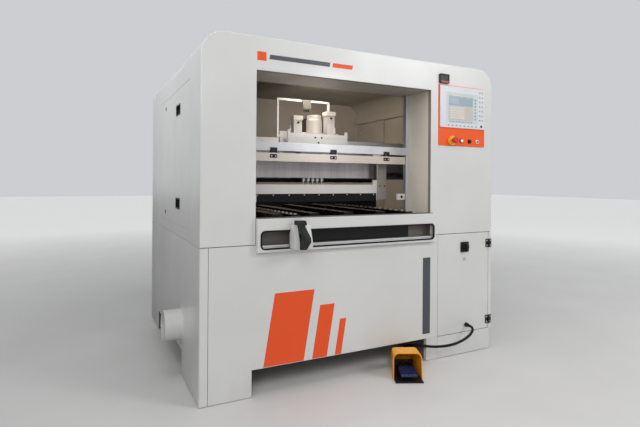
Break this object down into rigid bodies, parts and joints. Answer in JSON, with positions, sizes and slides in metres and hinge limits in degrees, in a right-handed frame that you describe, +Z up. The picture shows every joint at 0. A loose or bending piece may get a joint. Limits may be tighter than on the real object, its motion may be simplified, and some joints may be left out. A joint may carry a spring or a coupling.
{
  "type": "line boring machine",
  "caption": "Enclosed line boring machine: white sheet-steel cabinet with a work opening, drilling head on a bridge, stop handle, control column and foot pedal.",
  "frame": {"origin": "on the floor under the middle of the machine's box, the free cable left out", "axes": "+Z up, +X to the operator's right along the front, +Y from the front to the rear"},
  "size_m": [2.035, 1.9876, 1.85],
  "materials": {
    "casing_paint": "semi-gloss light grey-white powder coat",
    "frame_paint": "matt dark grey paint",
    "aluminium": "anodised",
    "steel": "ground",
    "black_plastic": "moulded matt",
    "orange_plate": "semi-gloss orange",
    "panel_white": "smooth",
    "bezels": "smooth",
    "red_plastic": "smooth",
    "white_plastic": "smooth",
    "green_plastic": "smooth",
    "cream_plastic": "translucent sheet",
    "window": "tinted polycarbonate",
    "rubber": "matt",
    "presser_paint": "painted",
    "motor_paint": "painted",
    "yellow_plastic": "moulded",
    "navy_plastic": "moulded",
    "devices": "moulded"
  },
  "bodies": {
    "machine": {"base_frame": "frame_paint", "leg_boxes": "frame_paint", "bridge": "frame_paint", "lower_front_panel": "casing_paint", "lower_left_panel": "casing_paint", "lower_right_panel": "casing_paint", "rear_panels": "casing_paint", "hood_shell": "casing_paint", "hood_front": "casing_paint", "opening_liner": "casing_paint", "front_tray": "casing_paint", "electrical_cabinet": "casing_paint", "dust_port": "casing_paint", "guard_frame": "aluminium", "carriage_rail": "aluminium", "x_drive": "aluminium", "presser_lifts": "aluminium", "guard_window": "window", "flap_hinge_brackets": "black_plastic", "service_port": "black_plastic", "frame_hinge_leaves": "black_plastic", "support_bars": "black_plastic", "pedal_base": "black_plastic", "slot_trim": "rubber", "pedal_cable": "rubber", "control_plate": "orange_plate", "display": "panel_white", "control_bezels": "bezels", "electrical_panel": "devices", "table_bed": "steel", "chip_hood": "steel", "pedal_guard": "yellow_plastic"},
    "flap": {"safety_flap": "cream_plastic"},
    "handle": {"handle_carriage": "casing_paint", "handle_grip": "black_plastic"},
    "thumb": {"thumb_button": "green_plastic"},
    "estop": {"estop_button": "red_plastic"},
    "start": {"start_button": "white_plastic"},
    "stop": {"stop_button": "black_plastic"},
    "key": {"key_switch": "black_plastic"},
    "door": {"cabinet_door": "casing_paint", "door_hinge_leaves": "black_plastic", "main_switch_plate": "black_plastic", "cable_gland": "black_plastic"},
    "main_switch": {"main_switch_knob": "black_plastic"},
    "lock": {"door_lock": "steel"},
    "side": {"side_panel": "casing_paint", "side_fittings": "black_plastic"},
    "presser": {"presser_bar": "presser_paint", "presser_pad": "rubber"},
    "carriage": {"head_carriage": "aluminium"},
    "head": {"boring_head": "steel", "gearbox_cover": "steel", "spindle_motor": "motor_paint"},
    "treadle": {"pedal_treadle": "navy_plastic"},
    "spindle_1": {"spindle_1": "steel"},
    "spindle_2": {"spindle_2": "steel"},
    "spindle_3": {"spindle_3": "steel"},
    "spindle_4": {"spindle_4": "steel"},
    "spindle_5": {"spindle_5": "steel"}
  },
  "joints": [
    {"name": "flap_swing", "type": "hinge", "parent": "machine", "child": "flap", "pos_m": [-0.0665, -0.52324, 1.274], "axis": [-1, 0, 0], "range_deg": [0, 100]},
    {"name": "handle_slide", "type": "slide", "parent": "machine", "child": "handle", "axis": [1, 0, 0], "range_m": [-0.14, 0.84]},
    {"name": "thumb_press", "type": "slide", "parent": "handle", "child": "thumb", "axis": [0, 0, -1], "range_m": [0, 0.003], "stiffness_N_per_m": 300, "springref_m": -0.002},
    {"name": "estop_press", "type": "slide", "parent": "machine", "child": "estop", "axis": [0, 1, 0], "range_m": [0, 0.004]},
    {"name": "start_press", "type": "slide", "parent": "machine", "child": "start", "axis": [0, 1, 0], "range_m": [0, 0.002], "stiffness_N_per_m": 400},
    {"name": "stop_press", "type": "slide", "parent": "machine", "child": "stop", "axis": [0, 1, 0], "range_m": [0, 0.002], "stiffness_N_per_m": 400},
    {"name": "key_turn", "type": "hinge", "parent": "machine", "child": "key", "pos_m": [0.8775, -0.75624, 1.371], "axis": [0, -1, 0], "range_deg": [0, 90]},
    {"name": "door_swing", "type": "hinge", "parent": "machine", "child": "door", "pos_m": [0.9915, -0.75425, 0.45], "axis": [0, 0, 1], "range_deg": [0, 105], "deforming": ["pedal_cable"]},
    {"name": "main_switch_turn", "type": "hinge", "parent": "door", "child": "main_switch", "pos_m": [0.7805, -0.76124, 0.689], "axis": [0, -1, 0], "range_deg": [0, 90]},
    {"name": "lock_turn", "type": "hinge", "parent": "door", "child": "lock", "pos_m": [0.7825, -0.74625, 0.611], "axis": [0, -1, 0], "range_deg": [0, 90]},
    {"name": "side_lift_off", "type": "slide", "parent": "machine", "child": "side", "axis": [-1, 0, 0], "range_m": [0, 0.3]},
    {"name": "presser_drop", "type": "slide", "parent": "machine", "child": "presser", "axis": [0, 0, -1], "range_m": [0, 0.045]},
    {"name": "head_traverse", "type": "slide", "parent": "machine", "child": "carriage", "axis": [1, 0, 0], "range_m": [-0.28, 0.2]},
    {"name": "head_feed", "type": "slide", "parent": "carriage", "child": "head", "axis": [0, 0, -1], "range_m": [0, 0.1]},
    {"name": "treadle_press", "type": "hinge", "parent": "machine", "child": "treadle", "pos_m": [0.26608, -0.7888, 0.046], "axis": [0.9063, -0.4226, 0], "range_deg": [0, 6], "stiffness_Nm_per_rad": 30, "springref_deg": -2.86},
    {"name": "spindle_3_spin", "type": "hinge", "parent": "head", "child": "spindle_3", "pos_m": [-0.1195, -0.34625, 1.25], "axis": [0, 0, 1], "continuous": true},
    {"name": "spindle_1_spin", "type": "hinge", "parent": "head", "child": "spindle_1", "pos_m": [-0.1835, -0.34625, 1.25], "axis": [0, 0, 1], "continuous": true},
    {"name": "spindle_2_spin", "type": "hinge", "parent": "head", "child": "spindle_2", "pos_m": [-0.1515, -0.34625, 1.25], "axis": [0, 0, 1], "continuous": true},
    {"name": "spindle_4_spin", "type": "hinge", "parent": "head", "child": "spindle_4", "pos_m": [-0.0875, -0.34625, 1.25], "axis": [0, 0, 1], "continuous": true},
    {"name": "spindle_5_spin", "type": "hinge", "parent": "head", "child": "spindle_5", "pos_m": [-0.0555, -0.34625, 1.25], "axis": [0, 0, 1], "continuous": true}
  ],
  "couplings": [
    {"joint": "spindle_1_spin", "follows": "spindle_3_spin", "ratio": 1},
    {"joint": "spindle_2_spin", "follows": "spindle_3_spin", "ratio": -1},
    {"joint": "spindle_4_spin", "follows": "spindle_3_spin", "ratio": -1},
    {"joint": "spindle_5_spin", "follows": "spindle_3_spin", "ratio": 1}
  ]
}
